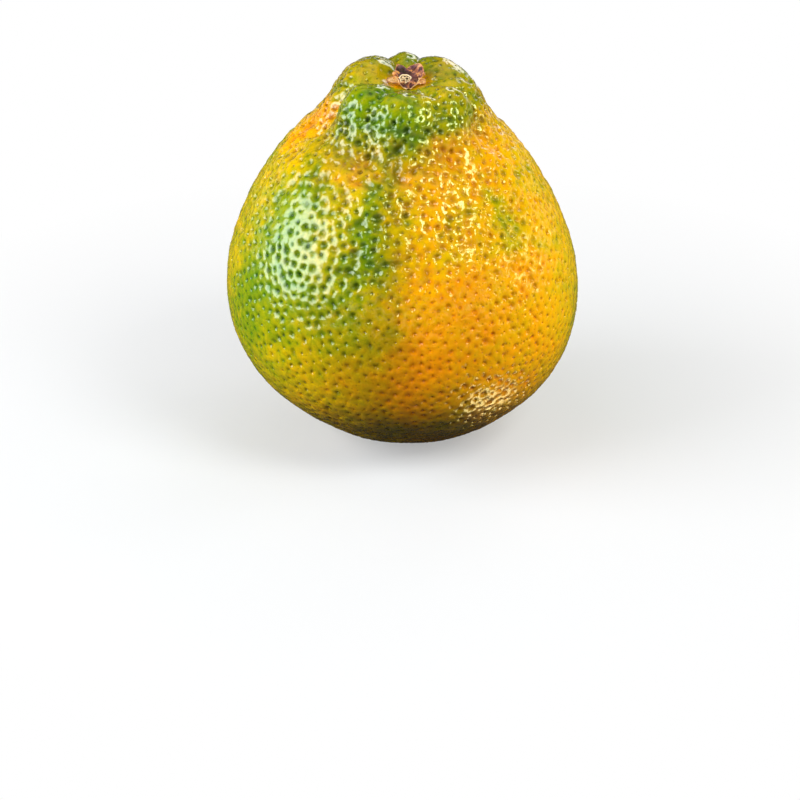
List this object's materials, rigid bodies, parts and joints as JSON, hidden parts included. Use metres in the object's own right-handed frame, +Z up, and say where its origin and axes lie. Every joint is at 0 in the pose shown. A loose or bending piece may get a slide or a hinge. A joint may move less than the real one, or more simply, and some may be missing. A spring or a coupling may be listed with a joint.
{
  "type": "tangelo",
  "caption": "Whole uncut tangelo with a lobed neck at the stem end, a dried calyx and a stem stub, resting upright on a small flat spot.",
  "frame": {"origin": "centre of the small flat spot on the blossom end that the fruit rests on", "axes": "+Z up along the core to the stem end, -Y to the front, +X to the right seen from the front"},
  "size_m": [0.0999, 0.0993, 0.1098],
  "materials": {
    "rind": "satin",
    "dried_calyx": "matte",
    "stem_wood": "matte"
  },
  "bodies": {
    "root": {"fruit": "rind", "calyx": "dried_calyx", "stem_stub": "stem_wood"}
  },
  "joints": []
}
